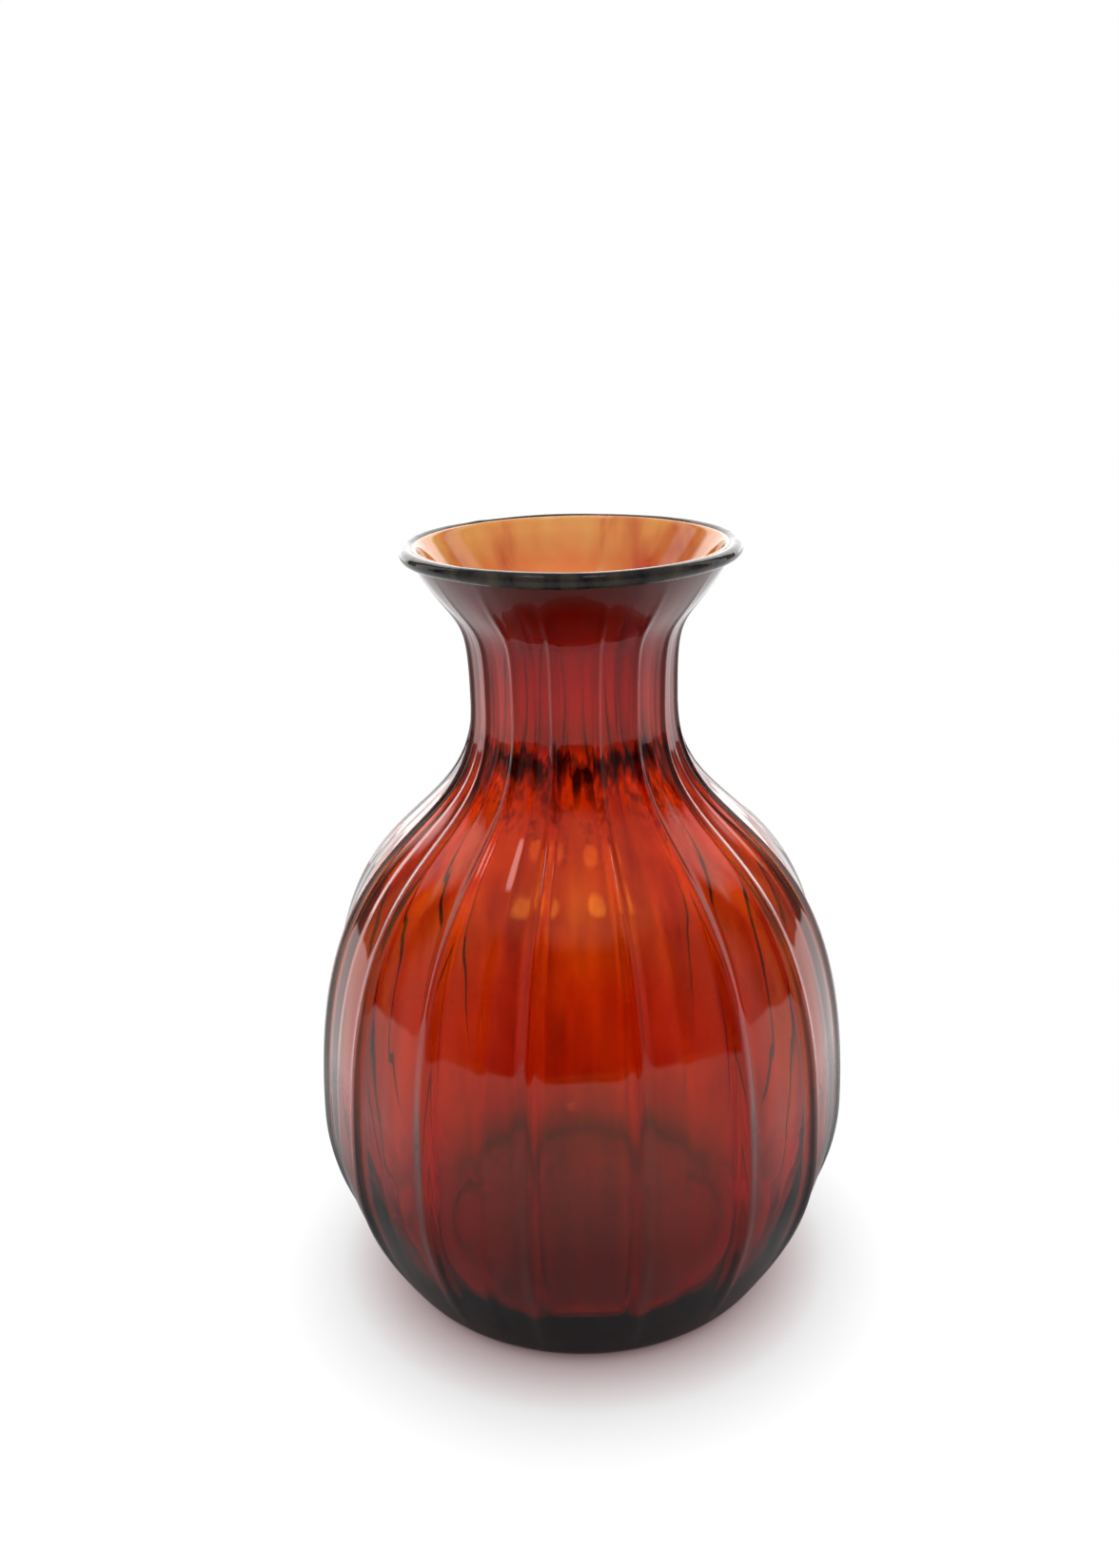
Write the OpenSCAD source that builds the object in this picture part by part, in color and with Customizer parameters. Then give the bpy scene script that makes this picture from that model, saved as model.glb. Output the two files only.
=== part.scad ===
// Hand blown art glass vase: a ruby casing with pressed ribs over an amber lining,
// with a thread of black glass wrapped round the outer edge of the rim.
// Millimetres. +Z is up, and the origin is the centre of the ground foot.

/* [Overall size] */
// Height of the glass wall from the table to the rim
wall_h = 248; // [206:1:298]
// Diameter over the ribs at the widest part of the body
belly_d = 172; // [143:1:207]
// Diameter over the ribs at the narrowest part of the neck
neck_d = 65; // [54:1:78]
// Diameter of the glass at the rim
rim_d = 100; // [83:1:120]
// Diameter of the heel, where the base turns up into the body
heel_d = 137; // [114:1:160]
// Diameter of the foot that rests on the table
foot_d = 94; // [78:1:113]

/* [Outline heights] */
// Height of the heel above the table
heel_z = 11; // [9:0.5:13.5]
// Height of the widest part of the body above the table
belly_z = 65; // [54:1:78]
// Height of the flare, from the narrowest part of the neck up to the rim
flare_h = 47; // [39:1:57]

/* [Outline fullness] */
// How long the shoulder stays full above the belly, as a share of the climb to the neck
shoulder_full = 0.8; // [0.5:0.01:0.9]
// How far the neck keeps its width below its narrowest part, as a share of that climb
neck_hold = 0.37; // [0.2:0.01:0.5]
// How far the wall leans out at the heel, as run over rise
heel_lean = 0.6; // [0.5:0.01:0.72]
// How steeply the flare opens at the rim, as rise over run
rim_slope = 1.9; // [1.6:0.1:2.3]

/* [Glass thickness] */
// Thickness of the ruby casing on the body, over a rib
casing_t = 4.2; // [3.5:0.1:5.1]
// How much thicker the casing is where the shoulder turns up into the neck
neck_swell = 1.4; // [1.1:0.1:1.7]
// Thickness of the ruby casing at the rim
casing_rim_t = 2.1; // [1.7:0.1:2.6]
// Thickness of the amber lining on the body
lining_t = 1.6; // [1.2:0.1:2]
// Thickness of the amber lining at the rim
lining_rim_t = 1.2; // [1:0.1:1.5]
// Thickness of solid ruby glass under the bowl
base_t = 8; // [6.5:0.5:10]
// Thickness of the amber lining on the floor of the bowl
floor_t = 2.4; // [1.9:0.1:3]
// Diameter of the flat part of the bowl's floor
floor_d = 92; // [76:1:111]

/* [Ribs] */
// Number of ribs around the vase
ribs = 16; // [12:1:20]
// Depth of the flutes between the ribs at the belly
rib_depth = 2.2; // [1.8:0.1:2.7]
// Height over which the ribs rise out of the foot
rib_rise = 44; // [34:1:54]
// Height over which the ribs die away below the rim
rib_fade = 40; // [32:1:48]

/* [Foot] */
// Depth of glass ground away to make the foot flat
ground_t = 0.8; // [0.6:0.1:1]
// Diameter of the polished pontil hollow in the middle of the foot
pontil_d = 40; // [33:1:48]
// Depth of the pontil hollow
pontil_h = 2.4; // [1.9:0.1:3]

/* [Lip wrap] */
// Thickness of the black thread
lip_d = 4.4; // [3.6:0.1:5.3]
// How far the thread's centre lies below the flat rim
lip_drop = 1.7; // [1.4:0.1:2]

/* [Hidden] */
$fn = 96;
belly_r = belly_d / 2;
neck_r = neck_d / 2;
rim_r = rim_d / 2;
heel_r = heel_d / 2;
foot_r = foot_d / 2;
neck_z = wall_h - flare_h;
neck_climb = neck_z - belly_z;
body_climb = belly_z - heel_z;
// Each layer is drawn a little past the rim, and the rim is cut flat afterwards.
over_rim = 1.03;
// How far the outline's bends are pulled along, each as a share of the stretch it belongs to
foot_pull = 0.7;
heel_pull = 0.55;
body_pull = 0.38;
belly_pull = 0.32;
throat_pull = 0.68;
flare_pull = 0.6;
corner_pull = 0.6;
// Middle and half height of the thick part of the casing at the foot of the neck
swell_z = mix(belly_z, neck_z, 0.8);
swell_half = 0.2 * neck_climb;
// Share of the flutes' depth that would be left where the outline reached the axis
flute_keep = 0.5;
// Steps along the heel, the lower body, the shoulder and the flare
heel_steps = 6;
body_steps = 6;
shoulder_steps = 18;
flare_steps = 9;
corner_steps = 6;
// The places across one rib, from crest to crest, and how deep the flute is at each
rib_at = [0, 0.07, 0.2, 0.5, 0.8, 0.93];
flute_at = [0, 0.36, 0.74, 1, 0.74, 0.36];
// A sphere through the pontil hollow's edge and its deepest point
pontil_r = (pow(pontil_d / 2, 2) + pow(pontil_h, 2)) / (2 * pontil_h);

// A point on a cubic curve with four control points
function cubic(p, t) =
    pow(1 - t, 3) * p[0] + 3 * t * pow(1 - t, 2) * p[1]
    + 3 * t * t * (1 - t) * p[2] + pow(t, 3) * p[3];
// The curve's direction at the same place
function along(p, t) =
    pow(1 - t, 2) * (p[1] - p[0]) + 2 * t * (1 - t) * (p[2] - p[1]) + t * t * (p[3] - p[2]);
// A smooth step from 0 to 1
function ease(t) = let (u = min(max(t, 0), 1)) u * u * (3 - 2 * u);
function mix(a, b, t) = a + (b - a) * t;

// The outline over the ribs, as four curves that join smoothly: [radius, height]
heel_curve = [
    [foot_r, -ground_t],
    [mix(foot_r, heel_r, foot_pull), -ground_t],
    [heel_r - heel_pull * heel_z * heel_lean, heel_z - heel_pull * heel_z],
    [heel_r, heel_z]
];
body_curve = [
    [heel_r, heel_z],
    [heel_r + body_pull * body_climb * heel_lean, heel_z + body_pull * body_climb],
    [belly_r, belly_z - belly_pull * body_climb],
    [belly_r, belly_z]
];
shoulder_curve = [
    [belly_r, belly_z],
    [belly_r, belly_z + shoulder_full * neck_climb],
    [neck_r, neck_z - neck_hold * neck_climb],
    [neck_r, neck_z]
];
flare_curve = [
    [neck_r, neck_z],
    [neck_r, neck_z + throat_pull * flare_h],
    [rim_r - flare_pull * flare_h / rim_slope, wall_h - flare_pull * flare_h],
    [rim_r, wall_h]
];
curves = [heel_curve, body_curve, shoulder_curve, flare_curve];
// Places along the outline, as [curve, share of it], from the foot to just past the rim
foot_to_rim = concat(
    [for (i = [0 : heel_steps - 1]) [0, i / heel_steps]],
    [for (i = [0 : body_steps - 1]) [1, i / body_steps]],
    [for (i = [0 : shoulder_steps - 1]) [2, i / shoulder_steps]],
    [for (i = [0 : flare_steps]) [3, over_rim * i / flare_steps]]
);
// The same places from the top of the bowl's corner upwards
corner_top = 0.5;
corner_to_rim = [for (p = foot_to_rim) if (p[0] + p[1] >= 1 + corner_top) p];

function outline(p) = cubic(curves[p[0]], p[1]);
// The outline moved square to the wall, in towards the axis, by d
function inset(p, d) =
    let (s = along(curves[p[0]], p[1]), n = [s[1], -s[0]] / norm(s)) outline(p) - d * n;
// Depth under the outline of the lining's outside (layers = 0) and of its inside (layers = 1)
function depth(p, layers) =
    let (z = outline(p)[1], up = ease(z / wall_h), swell = ease(1 - abs(z - swell_z) / swell_half))
    mix(casing_t, casing_rim_t, up) + neck_swell * swell + layers * mix(lining_t, lining_rim_t, up);
// The bowl's section, from the axis across the floor, round the corner and up the wall
function bowl(layers) =
    let (
        floor_z = base_t + layers * floor_t,
        first = corner_to_rim[0],
        wall = inset(first, depth(first, layers)),
        s = along(body_curve, first[1]),
        drop = corner_pull * (wall[1] - floor_z),
        corner = [
            [floor_d / 2, floor_z],
            [mix(floor_d / 2, wall[0], corner_pull), floor_z],
            wall - drop * s / norm(s),
            wall
        ]
    )
    concat(
        [[0, floor_z]],
        [for (i = [0 : corner_steps - 1]) cubic(corner, i / corner_steps)],
        [for (p = corner_to_rim) inset(p, depth(p, layers))]
    );

// How far the ribs stand out at a height, from 0 at the foot and the rim to 1 between them
function rib_share(z) = ease(z / rib_rise) * ease((wall_h - z) / rib_fade);
// One ring of the ribbed skin: the flutes are cut in from the outline, less deeply where it is narrow
function ring(p) =
    let (o = outline(p), cut = rib_depth * rib_share(o[1]) * mix(flute_keep, 1, o[0] / belly_r))
    [for (k = [0 : ribs - 1], j = [0 : len(rib_at) - 1])
        let (a = (k + 0.5 + rib_at[j]) * 360 / ribs, r = o[0] - cut * flute_at[j])
        [r * cos(a), r * sin(a), o[1]]];

module ribbed_skin() {
    around = ribs * len(rib_at);
    last = len(foot_to_rim) - 1;
    points = [for (p = foot_to_rim) each ring(p)];
    sides = [
        for (i = [0 : last - 1], j = [0 : around - 1])
            let (a = i * around + j, b = i * around + (j + 1) % around)
            each [[a, a + around, b], [b, a + around, b + around]]
    ];
    bottom = [for (j = [0 : around - 1]) j];
    top = [for (j = [around - 1 : -1 : 0]) last * around + j];
    polyhedron(points = points, faces = concat(sides, [bottom, top]));
}

// Everything above the flat rim
module above_rim() {
    translate([0, 0, wall_h])
        cylinder(r = belly_r, h = flare_h);
}

// The blown glass as one solid, cut flat at the rim
module blank() {
    difference() {
        ribbed_skin();
        above_rim();
    }
}

// The space inside the casing, which the lining fills and lines
module lining_space() {
    section = bowl(0);
    rotate_extrude()
        polygon(concat(section, [[0, section[len(section) - 1][1]]]));
}

module outer_casing() {
    color([0.5, 0.02, 0.03, 0.85])
        difference() {
            blank();
            lining_space();
            // The ground foot
            translate([0, 0, -2 * ground_t])
                cylinder(r = belly_r, h = 2 * ground_t);
            // The pontil hollow
            translate([0, 0, pontil_h - pontil_r])
                sphere(r = pontil_r);
        }
}

module inner_lining() {
    outside = bowl(0);
    inside = bowl(1);
    color([0.92, 0.45, 0.08, 0.8])
        difference() {
            rotate_extrude()
                polygon(concat(outside, [for (i = [len(inside) - 1 : -1 : 0]) inside[i]]));
            above_rim();
        }
}

module lip_wrap() {
    color([0.03, 0.03, 0.035])
        difference() {
            rotate_extrude()
                translate([rim_r - lip_drop / rim_slope, wall_h - lip_drop])
                    circle(d = lip_d);
            blank();
        }
}

outer_casing();
inner_lining();
lip_wrap();
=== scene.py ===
import math

import bpy
import numpy as np
from mathutils import Matrix, Vector


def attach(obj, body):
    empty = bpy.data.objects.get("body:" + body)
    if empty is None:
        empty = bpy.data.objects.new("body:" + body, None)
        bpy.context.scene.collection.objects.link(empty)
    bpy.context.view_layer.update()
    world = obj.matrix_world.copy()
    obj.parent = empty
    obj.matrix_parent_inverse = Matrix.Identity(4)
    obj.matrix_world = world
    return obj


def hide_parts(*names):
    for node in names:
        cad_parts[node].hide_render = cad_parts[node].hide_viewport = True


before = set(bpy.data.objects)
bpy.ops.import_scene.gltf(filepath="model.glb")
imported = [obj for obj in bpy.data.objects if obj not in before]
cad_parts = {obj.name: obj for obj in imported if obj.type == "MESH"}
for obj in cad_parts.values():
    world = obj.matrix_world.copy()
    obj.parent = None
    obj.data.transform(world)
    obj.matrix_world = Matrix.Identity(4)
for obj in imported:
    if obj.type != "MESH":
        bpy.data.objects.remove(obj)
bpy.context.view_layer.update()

# ---------------------------------------------------------------- sizes, in metres, as in the CAD
WALL_H = 0.248
BELLY_R = 0.086
NECK_R = 0.0325
RIM_R = 0.050
HEEL_R = 0.0685
FOOT_R = 0.047
HEEL_Z = 0.011
BELLY_Z = 0.065
FLARE_H = 0.047
SHOULDER_FULL = 0.80
NECK_HOLD = 0.37
HEEL_LEAN = 0.60
RIM_SLOPE = 1.9
CASING_T = 0.0042
NECK_SWELL = 0.0014
CASING_RIM_T = 0.0021
LINING_T = 0.0016
LINING_RIM_T = 0.0012
BASE_T = 0.008
FLOOR_T = 0.0024
FLOOR_R = 0.046
RIBS = 16
RIB_DEPTH = 0.0022
RIB_RISE = 0.044
RIB_FADE = 0.040
GROUND_T = 0.0008
PONTIL_R = 0.020
PONTIL_H = 0.0024
LIP_R = 0.0022
LIP_DROP = 0.0017
# The lining's skin stands this far into the casing, so that no air shows between fused layers.
FUSED = 0.00004
# Height of the ragged edge that the dark drips run down from
DRIP_Z = 0.191
# Radius of the rim's melted inner edge
EDGE_R = 0.0006
# How hard each curve of the outline pulls towards its own direction, as a share of its length
FOOT_PULL = 0.7
HEEL_PULL = 0.55
BODY_PULL = 0.38
BELLY_PULL = 0.32
THROAT_PULL = 0.68
FLARE_PULL = 0.6
CORNER_PULL = 0.6
# Where the cavity's corner ends, as a share of the body's curve
CORNER_TOP = 0.5
# Where the neck's swell sits and how far it spreads, as shares of the climb to the neck
SWELL_AT = 0.8
SWELL_SPREAD = 0.2
# Share of a flute's depth that is left where the vase is thinnest
FLUTE_KEEP = 0.5

AROUND = 20 * RIBS
NECK_Z = WALL_H - FLARE_H
CLIMB = NECK_Z - BELLY_Z
BODY_CLIMB = BELLY_Z - HEEL_Z
SWELL_Z = BELLY_Z + SWELL_AT * CLIMB
SWELL_HALF = SWELL_SPREAD * CLIMB
TURN = np.arange(AROUND) * (2 * math.pi / AROUND)


# ---------------------------------------------------------------- the outline
def cubic(p, t):
    p = np.array(p, float)
    t = np.atleast_1d(np.asarray(t, float))[:, None]
    return ((1 - t) ** 3 * p[0] + 3 * t * (1 - t) ** 2 * p[1]
            + 3 * t * t * (1 - t) * p[2] + t ** 3 * p[3])


def along(p, t):
    p = np.array(p, float)
    t = np.atleast_1d(np.asarray(t, float))[:, None]
    return ((1 - t) ** 2 * (p[1] - p[0]) + 2 * t * (1 - t) * (p[2] - p[1])
            + t * t * (p[3] - p[2]))


def ease(t):
    u = np.clip(t, 0, 1)
    return u * u * (3 - 2 * u)


def mix(a, b, t):
    return a + (b - a) * t


HEEL = [(FOOT_R, -GROUND_T), (mix(FOOT_R, HEEL_R, FOOT_PULL), -GROUND_T),
        (HEEL_R - HEEL_PULL * HEEL_Z * HEEL_LEAN, (1 - HEEL_PULL) * HEEL_Z), (HEEL_R, HEEL_Z)]
BODY = [(HEEL_R, HEEL_Z),
        (HEEL_R + BODY_PULL * BODY_CLIMB * HEEL_LEAN, HEEL_Z + BODY_PULL * BODY_CLIMB),
        (BELLY_R, BELLY_Z - BELLY_PULL * BODY_CLIMB), (BELLY_R, BELLY_Z)]
SHOULDER = [(BELLY_R, BELLY_Z), (BELLY_R, BELLY_Z + SHOULDER_FULL * CLIMB),
            (NECK_R, NECK_Z - NECK_HOLD * CLIMB), (NECK_R, NECK_Z)]
FLARE = [(NECK_R, NECK_Z), (NECK_R, NECK_Z + THROAT_PULL * FLARE_H),
         (RIM_R - FLARE_PULL * FLARE_H / RIM_SLOPE, WALL_H - FLARE_PULL * FLARE_H), (RIM_R, WALL_H)]


def stretch(curve, start, stop, steps):
    """Points and outward normals along part of one curve."""
    t = np.linspace(start, stop, steps)
    points, s = cubic(curve, t), along(curve, t)
    normals = np.stack([s[:, 1], -s[:, 0]], 1) / np.linalg.norm(s, axis=1)[:, None]
    return points, normals


def depth(z, layers):
    up = ease(z / WALL_H)
    swell = NECK_SWELL * ease(1 - np.abs(z - SWELL_Z) / SWELL_HALF)
    return mix(CASING_T, CASING_RIM_T, up) + swell + layers * mix(LINING_T, LINING_RIM_T, up)


def bowl(layers, grow=0.0):
    """The bowl's section from the axis up to the rim, moved into the casing by grow."""
    parts = [stretch(BODY, CORNER_TOP, 1, 16), stretch(SHOULDER, 0, 1, 90), stretch(FLARE, 0, 1.02, 44)]
    points = np.concatenate([p[0][:-1] if i < 2 else p[0] for i, p in enumerate(parts)])
    normals = np.concatenate([p[1][:-1] if i < 2 else p[1] for i, p in enumerate(parts)])
    wall = points - (depth(points[:, 1], layers) - grow)[:, None] * normals
    floor_z = BASE_T + layers * FLOOR_T - grow
    s = along(BODY, CORNER_TOP)[0]
    first = wall[0]
    drop = CORNER_PULL * (first[1] - floor_z)
    corner = cubic([(FLOOR_R, floor_z), (mix(FLOOR_R, first[0], CORNER_PULL), floor_z),
                    tuple(first - drop * s / np.linalg.norm(s)), tuple(first)],
                   np.linspace(0, 1, 22))[:-1]
    flat = np.stack([np.linspace(0, FLOOR_R, 9)[:-1], np.full(8, floor_z)], 1)
    section = np.concatenate([flat, corner, wall])
    inside = section[section[:, 1] < WALL_H]
    above = section[section[:, 1] >= WALL_H]
    share = (WALL_H - inside[-1, 1]) / (above[0, 1] - inside[-1, 1])
    edge = mix(inside[-1], above[0], share)
    if layers == 0:
        return np.concatenate([inside, [edge]])
    # fire-polished: the inner edge of the rim is melted round
    inside = inside[inside[:, 1] < WALL_H - 1.3 * EDGE_R]
    start = inside[-1]
    curl = cubic([tuple(start), tuple(mix(start, edge, 0.75)), (edge[0] + 0.1 * EDGE_R, WALL_H),
                  (edge[0] + EDGE_R, WALL_H)], np.linspace(0, 1, 12))[1:]
    return np.concatenate([inside, curl])


# ---------------------------------------------------------------- the ribs, and the hand's small errors
def hand(theta, z):
    """How far the hot wall drifts in or out, in metres: slow, and less at the foot and the rim."""
    up = ease(z / 0.04) * ease((WALL_H - z) / 0.03)
    drift = (0.00034 * np.sin(2 * theta + 0.7 + 14 * z) + 0.00022 * np.sin(3 * theta - 1.9 - 21 * z)
             + 0.00014 * np.sin(5 * theta + 2.4 + 33 * z))
    return drift * up


def flute(theta):
    """0 on a rib's crest and 1 in the middle of the flute beside it."""
    across = theta * RIBS / (2 * math.pi) - 0.5
    near = np.abs(across - np.round(across))
    return 0.70 * (1 - np.exp(-(near / 0.065) ** 2)) + 0.30 * (1 - np.cos(2 * math.pi * near)) / 2


def rib_share(z):
    return ease(z / RIB_RISE) * ease((WALL_H - z) / RIB_FADE)


def skin_ring(point):
    r, z = point
    k = np.floor(TURN * RIBS / (2 * math.pi))
    uneven = 1 + 0.1 * np.sin(1.7 * k + 0.6) + 0.05 * np.sin(4.1 * k)
    wander = 0.006 * np.sin(3 * TURN + 9 * z) + 0.004 * np.sin(7 * TURN - 16 * z)
    cut = RIB_DEPTH * rib_share(z) * mix(FLUTE_KEEP, 1, r / BELLY_R) * flute(TURN + wander)
    radius = r - cut * uneven + hand(TURN, z)
    return np.stack([radius * np.cos(TURN), radius * np.sin(TURN), np.full(AROUND, z)], 1)


def smooth_ring(point):
    r, z = point
    radius = r + hand(TURN, z)
    return np.stack([radius * np.cos(TURN), radius * np.sin(TURN), np.full(AROUND, z)], 1)


def put(name, points, faces):
    """A smooth mesh that moves with the vase."""
    mesh = bpy.data.meshes.new(name)
    mesh.from_pydata(points, [], faces)
    mesh.shade_smooth()
    mesh.update()
    piece = bpy.data.objects.new(name, mesh)
    bpy.context.scene.collection.objects.link(piece)
    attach(piece, "root")
    return piece


def closed_skin(name, rings):
    """A closed mesh from rings, the first and last of which are drawn in to the axis."""
    rows = len(rings)
    points = np.concatenate(rings + [[[0, 0, rings[0][0, 2]], [0, 0, rings[-1][0, 2]]]])
    i, j = np.meshgrid(np.arange(rows - 1), np.arange(AROUND), indexing="ij")
    nxt = (j + 1) % AROUND
    quads = np.stack([i * AROUND + j, i * AROUND + nxt, (i + 1) * AROUND + nxt,
                      (i + 1) * AROUND + j], -1).reshape(-1, 4)
    j = np.arange(AROUND)
    nxt = (j + 1) % AROUND
    first, last = rows * AROUND, rows * AROUND + 1
    fans = [(first, int(b), int(a)) for a, b in zip(j, nxt)]
    fans += [(last, int((rows - 1) * AROUND + a), int((rows - 1) * AROUND + b))
             for a, b in zip(j, nxt)]
    return put(name, points.tolist(), quads.tolist() + fans)


def casing_rings():
    hollow = [(r, PONTIL_H * (1 - (r / PONTIL_R) ** 2))
              for r in np.linspace(0, PONTIL_R, 11)[1:]]
    outside = np.concatenate([stretch(HEEL, 0, 1, 40)[0][:-1], stretch(BODY, 0, 1, 26)[0][:-1],
                              stretch(SHOULDER, 0, 1, 96)[0][:-1], stretch(FLARE, 0, 1, 46)[0]])
    below = outside[outside[:, 1] <= 0]
    outside = outside[outside[:, 1] > 0]
    share = -below[-1, 1] / (outside[0, 1] - below[-1, 1])
    ground = mix(below[-1], outside[0], share)
    foot = [(r, 0.0) for r in np.linspace(PONTIL_R, ground[0] - 0.0004, 12)[1:]]
    edge = [(ground[0], 0.00012)]
    rim_out = [(RIM_R - 0.0001, WALL_H - 0.00005)]
    inside = bowl(0)[::-1]
    path = hollow + foot + edge + [tuple(p) for p in outside[1:-1]] + rim_out
    rings = [skin_ring(p) for p in path]
    return rings + [smooth_ring(p) for p in inside if p[0] > 0]


def lining_rings():
    outside, inside = bowl(0, FUSED), bowl(1)[::-1]
    return [smooth_ring(p) for p in np.concatenate([outside, inside]) if p[0] > 0]


def lip_ring_mesh(name):
    """The thread: a bead laid round the rim, a little uneven, with the swell where its end was cut off."""
    steps, sides = 480, 36
    t = np.arange(steps) * (2 * math.pi / steps)
    join = np.exp(-((t - 2.2) / 0.07) ** 2)
    thick = 1 + 0.05 * np.sin(3 * t + 0.4) + 0.03 * np.sin(7 * t + 2.0) + 0.10 * join
    centre = RIM_R - LIP_DROP / RIM_SLOPE + 0.00008 * np.sin(4 * t + 1.1)
    height = WALL_H - LIP_DROP + 0.00010 * np.sin(2 * t + 0.9) + 0.00006 * np.sin(5 * t)
    a = np.arange(sides) * (2 * math.pi / sides)
    r = centre[:, None] + LIP_R * thick[:, None] * np.cos(a)[None]
    z = height[:, None] + LIP_R * thick[:, None] * np.sin(a)[None]
    points = np.stack([r * np.cos(t)[:, None], r * np.sin(t)[:, None], z], -1).reshape(-1, 3)
    i, j = np.meshgrid(np.arange(steps), np.arange(sides), indexing="ij")
    ni, nj = (i + 1) % steps, (j + 1) % sides
    faces = np.stack([i * sides + j, ni * sides + j, ni * sides + nj, i * sides + nj], -1).reshape(-1, 4)
    return put(name, points.tolist(), faces.tolist())


# ---------------------------------------------------------------- glass
# Middle of the painted shade, a dark patch low in the bowl, set a little towards the front
BASE_SHADE_CENTRE = (0.0, -0.02, 0.0)


class Nodes:
    """A small helper for building a material's nodes."""

    def __init__(self, name):
        self.material = bpy.data.materials.new(name)
        self.material.use_nodes = True
        self.tree = self.material.node_tree
        self.tree.nodes.clear()
        self.out = self.add("ShaderNodeOutputMaterial")
        self.shader = self.add("ShaderNodeBsdfPrincipled")
        self.link(self.shader.outputs["BSDF"], self.out.inputs["Surface"])

    def add(self, kind, **values):
        node = self.tree.nodes.new(kind)
        for key, value in values.items():
            setattr(node, key, value)
        return node

    def link(self, a, b):
        self.tree.links.new(a, b)

    def place(self, scale):
        """Object coordinates, stretched."""
        where = self.add("ShaderNodeTexCoord")
        mapping = self.add("ShaderNodeMapping")
        mapping.inputs["Scale"].default_value = scale
        self.link(where.outputs["Object"], mapping.inputs["Vector"])
        return mapping.outputs["Vector"]

    def noise(self, scale, stretch_by=(1, 1, 1), detail=2.0, rough=0.5, distort=0.0):
        node = self.add("ShaderNodeTexNoise")
        node.inputs["Scale"].default_value = scale
        node.inputs["Detail"].default_value = detail
        node.inputs["Roughness"].default_value = rough
        node.inputs["Distortion"].default_value = distort
        self.link(self.place(stretch_by), node.inputs["Vector"])
        return node.outputs["Fac"]

    def ramp(self, factor, stops):
        node = self.add("ShaderNodeValToRGB")
        elements = node.color_ramp.elements
        while len(elements) < len(stops):
            elements.new(0.5)
        for element, (at, colour) in zip(elements, stops):
            element.position = at
            element.color = (*colour, 1.0)
        self.link(factor, node.inputs["Fac"])
        return node.outputs["Color"]

    def spread(self, factor, low, high, to_low, to_high):
        node = self.add("ShaderNodeMapRange")
        node.clamp = True
        for key, value in (("From Min", low), ("From Max", high), ("To Min", to_low), ("To Max", to_high)):
            node.inputs[key].default_value = value
        self.link(factor, node.inputs["Value"])
        return node.outputs["Result"]

    def maths(self, operation, a, b):
        node = self.add("ShaderNodeMath", operation=operation)
        for socket, value in zip(node.inputs, (a, b)):
            if isinstance(value, (int, float)):
                socket.default_value = value
            else:
                self.link(value, socket)
        return node.outputs[0]

    def times(self, a, b, mode="MULTIPLY", factor=1.0):
        node = self.add("ShaderNodeMix", data_type="RGBA", blend_type=mode)
        node.inputs[0].default_value = factor
        self.link(a, node.inputs[6])
        self.link(b, node.inputs[7])
        return node.outputs[2]

    def bump(self, heights, distance):
        node = self.add("ShaderNodeBump")
        node.inputs["Distance"].default_value = distance
        node.inputs["Strength"].default_value = 1.0
        self.link(heights, node.inputs["Height"])
        self.link(node.outputs["Normal"], self.shader.inputs["Normal"])

    def height(self):
        """Height above the table, in metres."""
        split = self.add("ShaderNodeSeparateXYZ")
        self.link(self.place((1, 1, 1)), split.inputs["Vector"])
        return split.outputs["Z"]

    def along_y(self):
        """How far behind the vase's axis, in metres."""
        split = self.add("ShaderNodeSeparateXYZ")
        self.link(self.place((1, 1, 1)), split.inputs["Vector"])
        return split.outputs["Y"]

    def distance(self, point):
        """Distance from a point of the vase, in metres."""
        where = self.add("ShaderNodeTexCoord")
        node = self.add("ShaderNodeVectorMath", operation="DISTANCE")
        self.link(where.outputs["Object"], node.inputs[0])
        node.inputs[1].default_value = point
        return node.outputs["Value"]

    def absorb(self, per_metre):
        """Beer's law inside the piece: how much of red, green and blue is lost, per metre."""
        node = self.add("ShaderNodeVolumeAbsorption")
        density = max(per_metre) * 1.05
        node.inputs["Color"].default_value = (*[1 - a / density for a in per_metre], 1.0)
        node.inputs["Density"].default_value = density
        self.link(node.outputs["Volume"], self.out.inputs["Volume"])


def glass(n, roughness=0.0, ior=1.5):
    n.shader.inputs["Transmission Weight"].default_value = 1.0
    n.shader.inputs["IOR"].default_value = ior
    n.shader.inputs["Roughness"].default_value = roughness


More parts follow.
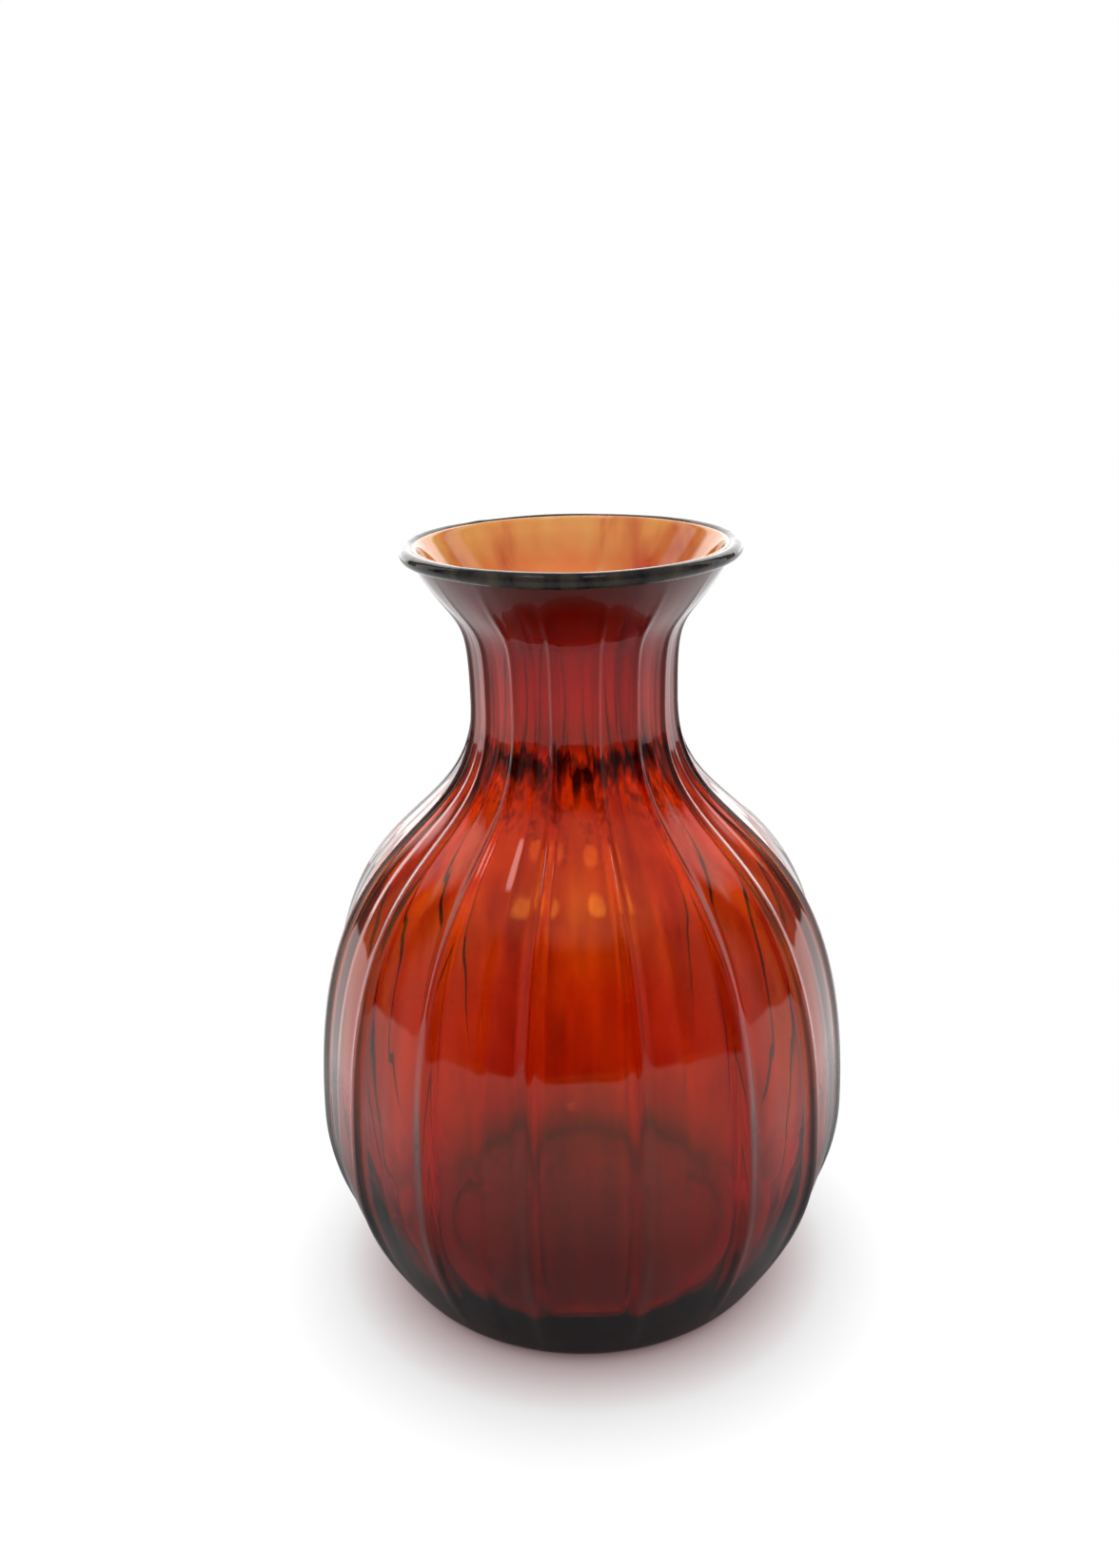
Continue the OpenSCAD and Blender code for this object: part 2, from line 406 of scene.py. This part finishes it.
def ruby_glass():
    n = Nodes("ruby_casing_glass")
    glass(n)
    # crimson and dense at the lip, lighter and more orange at the shoulder, and dark at the foot: the dark
    # at the foot is painted shade, standing in for the shaded table seen through the thick base
    level = n.spread(n.height(), 0.0, WALL_H, 0.0, 1.0)
    tone_and_foot_shade = n.ramp(level, [
        (0.0, (0.22, 0.05, 0.10)), (0.006, (0.50, 0.10, 0.17)), (0.026, (0.96, 0.20, 0.30)),
        (0.22, (0.98, 0.26, 0.28)), (0.38, (0.88, 0.62, 0.20)), (0.62, (0.86, 0.76, 0.18)),
        (0.76, (0.86, 0.26, 0.14)), (0.86, (0.52, 0.07, 0.16)), (1.0, (0.28, 0.06, 0.12))])
    streaks = n.ramp(n.noise(70, (1, 1, 0.10), 3, 0.55, 0.3),
                     [(0.32, (0.80, 0.66, 0.66)), (0.66, (1.0, 1.0, 1.0))])
    clouds = n.ramp(n.noise(22, (1, 1, 0.5), 2, 0.5, 0.4),
                    [(0.3, (0.88, 0.62, 0.80)), (0.7, (1.0, 1.0, 1.0))])
    # dark drips that run down from a ragged edge at the foot of the neck
    ragged = n.spread(n.noise(260, (1, 1, 0.02), 2, 0.6), 0.30, 0.70, -0.005, 0.005)
    length = n.spread(n.noise(420, (1, 1, 0.02), 1, 0.5), 0.38, 0.72, 0.006, 0.030)
    below = n.maths("SUBTRACT", n.maths("ADD", ragged, DRIP_Z), n.height())
    top = n.spread(below, -0.0005, 0.0012, 0.0, 1.0)
    fade = n.spread(n.maths("DIVIDE", below, length), 0.25, 1.0, 1.0, 0.0)
    on_front = n.spread(n.along_y(), -0.024, -0.006, 1.0, 0.0)
    share = n.maths("MULTIPLY", n.maths("MULTIPLY", top, fade), on_front)
    drips = n.ramp(share, [(0.0, (1.0, 1.0, 1.0)), (1.0, (0.05, 0.025, 0.07))])
    tint = n.times(n.times(n.times(tone_and_foot_shade, streaks), clouds), drips)
    n.link(tint, n.shader.inputs["Base Color"])
    wave = n.noise(38, (1, 1, 0.45), 1.5, 0.5, 0.3)
    n.bump(wave, 0.0005)
    n.absorb((64, 160, 320))
    return n.material


def amber_glass():
    n = Nodes("amber_lining_glass")
    glass(n)
    # clear in the bowl, and turning cloudy towards the lip
    level = n.spread(n.height(), 0.0, WALL_H, 0.0, 1.0)
    clear = n.ramp(level, [(0.2, (1.0, 1.0, 1.0)), (0.7, (0.90, 0.90, 0.90)), (0.83, (0.80, 0.80, 0.80)),
                           (0.95, (0.62, 0.62, 0.62)), (0.985, (0.25, 0.25, 0.25))])
    n.link(clear, n.shader.inputs["Transmission Weight"])
    streaks = n.ramp(n.noise(60, (1, 1, 0.10), 3, 0.5, 0.3),
                     [(0.30, (0.72, 0.20, 0.07)), (0.46, (0.95, 0.46, 0.12)), (0.66, (1.0, 0.62, 0.18))])
    at_lip = n.ramp(level, [(0.90, (1.0, 1.0, 1.0)), (0.98, (0.72, 0.58, 0.58))])
    # painted shade: a plum-dark patch low in the bowl darkens the lining, standing in for the shade of the
    # thick base and the shaded table under it, which makes the base look dark
    painted_base_shade = n.ramp(n.spread(n.distance(BASE_SHADE_CENTRE), 0.018, 0.056, 0.0, 1.0),
                      [(0.0, (0.08, 0.08, 0.20)), (0.5, (0.42, 0.38, 0.56)), (1.0, (1.0, 1.0, 1.0))])
    n.link(n.times(n.times(streaks, at_lip), painted_base_shade), n.shader.inputs["Base Color"])
    n.bump(n.noise(45, (1, 1, 0.4), 1.5), 0.0003)
    n.absorb((30, 130, 600))
    return n.material


def black_glass():
    n = Nodes("black_lip_glass")
    streak = n.noise(120, (1, 1, 0.4), 4, 0.6, 0.8)
    n.link(n.ramp(streak, [(0.35, (0.004, 0.004, 0.005)), (0.8, (0.035, 0.028, 0.02))]),
           n.shader.inputs["Base Color"])
    n.shader.inputs["IOR"].default_value = 1.5
    n.shader.inputs["Specular IOR Level"].default_value = 0.3
    n.link(n.spread(n.noise(500), 0.3, 0.75, 0.01, 0.03), n.shader.inputs["Roughness"])
    n.bump(n.noise(160, (1, 1, 1), 2), 0.0002)
    return n.material


# ---------------------------------------------------------------- the pieces
casing = closed_skin("ruby_casing", casing_rings())
lining = closed_skin("amber_lining", lining_rings())
lip = lip_ring_mesh("black_lip_thread")
casing.data.materials.append(ruby_glass())
lining.data.materials.append(amber_glass())
lip.data.materials.append(black_glass())
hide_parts("outer_casing")
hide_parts("inner_lining")
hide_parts("lip_wrap")


# ---------------------------------------------------------------- floor
TABLE_R = 0.3
# The table lies this far below the foot, so that the two faces don't coincide
TABLE_GAP = 0.0002


def floor():
    """A white table that fades into the white room behind it."""
    steps = 96
    mesh = bpy.data.meshes.new("floor")
    turns = np.arange(steps) * 2 * math.pi / steps
    rim = [(TABLE_R * math.cos(a), TABLE_R * math.sin(a), 0) for a in turns]
    mesh.from_pydata(rim, [], [tuple(range(steps))])
    piece = bpy.data.objects.new("floor", mesh)
    piece.location.z = -TABLE_GAP
    bpy.context.scene.collection.objects.link(piece)
    n = Nodes("pale_table")
    where = n.add("ShaderNodeTexCoord")
    paper = n.ramp(n.noise(6, (1, 1, 1), 4), [(0.3, (0.79, 0.79, 0.79)), (0.7, (0.81, 0.81, 0.81))])
    n.shader.inputs["Roughness"].default_value = 0.9
    n.shader.inputs["Specular IOR Level"].default_value = 0.1
    reach = n.add("ShaderNodeVectorMath", operation="LENGTH")
    n.link(where.outputs["Object"], reach.inputs[0])
    # painted red close to the foot, in place of light that comes through the ruby glass
    glow = n.ramp(n.spread(reach.outputs["Value"], 0.050, 0.085, 0.0, 1.0),
                  [(0.0, (0.62, 0.22, 0.26)), (0.35, (0.84, 0.66, 0.68)), (1.0, (1.0, 1.0, 1.0))])
    n.link(n.times(paper, glow), n.shader.inputs["Base Color"])
    n.link(n.spread(reach.outputs["Value"], 0.12, 0.23, 1.0, 0.0), n.shader.inputs["Alpha"])
    mesh.materials.append(n.material)


floor()


# ---------------------------------------------------------------- light
# Brightness of the room seen in reflections: degrees round from the viewer, and how bright
ROOM_TOP = 4.0
ROOM = [(0, 0.01), (34, 0.01), (46, 0.12), (62, 0.25), (88, 0.35), (96, 0.04), (102, 0.06), (107, 1.2),
        (120, 1.4), (124, 0.10), (134, 0.10), (139, 2.8), (180, 2.8)]
# Light on the table, and on the table as the glass mirrors it
TABLE_LIGHT = 1.6
MIRRORED_TABLE_LIGHT = 0.4


def room():
    """A white studio. Light that came straight through the glass meets the bright backdrop; light that
    was reflected on the way meets the rest of the room: dark behind the viewer, windows at the sides."""
    world = bpy.data.worlds.new("studio")
    bpy.context.scene.world = world
    world.use_nodes = True
    tree = world.node_tree
    tree.nodes.clear()

    def add(kind, **values):
        node = tree.nodes.new(kind)
        for key, value in values.items():
            setattr(node, key, value)
        return node

    def maths(operation, a, b=None, clamp=False):
        node = add("ShaderNodeMath", operation=operation, use_clamp=clamp)
        for socket, value in zip(node.inputs, (a, b)):
            if value is None:
                continue
            if isinstance(value, (int, float)):
                socket.default_value = value
            else:
                tree.links.new(value, socket)
        return node.outputs[0]

    def step(value, low, high, to_low=0.0, to_high=1.0):
        node = add("ShaderNodeMapRange", interpolation_type="SMOOTHSTEP")
        for key, number in (("From Min", low), ("From Max", high), ("To Min", to_low), ("To Max", to_high)):
            node.inputs[key].default_value = number
        tree.links.new(value, node.inputs["Value"])
        return node.outputs["Result"]

    def choose(share, a, b):
        node = add("ShaderNodeMix", data_type="FLOAT")
        for socket, value in zip((node.inputs[0], node.inputs[2], node.inputs[3]), (share, a, b)):
            if isinstance(value, (int, float)):
                socket.default_value = value
            else:
                tree.links.new(value, socket)
        return node.outputs[0]

    def levels(factor, stops):
        node = add("ShaderNodeValToRGB")
        elements = node.color_ramp.elements
        while len(elements) < len(stops):
            elements.new(0.5)
        for element, (at, value) in zip(elements, stops):
            element.position = at
            element.color = (value, value, value, 1.0)
        tree.links.new(factor, node.inputs["Fac"])
        return node.outputs["Color"]

    def blob(x, y, z, centre, sharp):
        """1 in one direction of the sky, falling off round it."""
        cx, cy, cz = Vector(centre).normalized()
        dot = maths("ADD", maths("ADD", maths("MULTIPLY", x, cx), maths("MULTIPLY", y, cy)),
                    maths("MULTIPLY", z, cz))
        return step(dot, 1 - sharp, 1 - 0.35 * sharp)

    out = add("ShaderNodeOutputWorld")
    back = add("ShaderNodeBackground")
    back.inputs["Color"].default_value = (1.0, 1.0, 1.0, 1.0)
    tree.links.new(back.outputs[0], out.inputs["Surface"])
    where = add("ShaderNodeTexCoord")
    split = add("ShaderNodeSeparateXYZ")
    tree.links.new(where.outputs["Generated"], split.inputs[0])
    x, y, z = split.outputs

    # what reflections see, by the angle round from the viewer
    turn = maths("DIVIDE", maths("ARCTAN2", maths("ABSOLUTE", x), maths("MULTIPLY", y, -1.0)), math.pi)
    round_about = maths("MULTIPLY", ROOM_TOP, levels(turn, [(a / 180, v / ROOM_TOP) for a, v in ROOM]))
    ceiling = maths("ADD", 0.35, maths("MULTIPLY", 4.0, maths("ADD",
                    blob(x, y, z, (-0.30, -0.28, 0.91), 0.006), blob(x, y, z, (0.16, -0.30, 0.94), 0.006))))
    mirrored = choose(step(z, 0.62, 0.80), round_about, ceiling)
    table = step(turn, 0.35, 0.65, 0.56, 1.15)
    mirrored = choose(step(z, -0.13, -0.105), table, mirrored)
    # what comes straight through the glass sees
    through = step(z, -0.50, -0.14, 1.25, 4.0)

    path = add("ShaderNodeLightPath")
    bounced = maths("MINIMUM", path.outputs["Diffuse Depth"], 1.0)
    through = choose(bounced, through, 1.0)
    straight = maths("MAXIMUM", path.outputs["Is Glossy Ray"], path.outputs["Is Transmission Ray"])
    level = choose(path.outputs["Is Transmission Ray"], TABLE_LIGHT, through)
    mirrored = choose(straight, MIRRORED_TABLE_LIGHT, mirrored)
    mirrored = choose(bounced, mirrored, MIRRORED_TABLE_LIGHT)
    level = choose(maths("MINIMUM", path.outputs["Glossy Depth"], 1.0), level, mirrored)
    level = choose(path.outputs["Is Camera Ray"], level, 1.0)
    tree.links.new(level, back.inputs["Strength"])


def area(name, place, target, size, power):
    """A square lamp that lights the table but isn't seen in the glass."""
    data = bpy.data.lights.new(name, "AREA")
    data.energy = power
    data.size = size
    lamp = bpy.data.objects.new(name, data)
    bpy.context.scene.collection.objects.link(lamp)
    lamp.location = place
    lamp.rotation_euler = (Vector(target) - Vector(place)).to_track_quat("-Z", "Y").to_euler()
    lamp.visible_glossy = False
    lamp.visible_transmission = False


room()
area("top_light", (0.0, 0.5, 1.7), (0, 0.0, 0), 1.6, 4)

# ---------------------------------------------------------------- camera
CAMERA_AT = (-0.0050, -0.440, 0.3272)
# Degrees that the camera looks down, and that it is rolled
LOOK_DOWN = 19.52
ROLL = -1.39
# Millimetres, as on a camera
LENS = 33.91
SENSOR = 36.0

camera_data = bpy.data.cameras.new("camera")
camera_data.lens = LENS
camera_data.sensor_width = SENSOR
camera = bpy.data.objects.new("camera", camera_data)
bpy.context.scene.collection.objects.link(camera)
camera.matrix_world = (Matrix.Translation(CAMERA_AT)
                       @ Matrix.Rotation(math.radians(90 - LOOK_DOWN), 4, "X")
                       @ Matrix.Rotation(math.radians(ROLL), 4, "Z"))
bpy.context.scene.camera = camera
bpy.context.scene.view_settings.view_transform = "Standard"
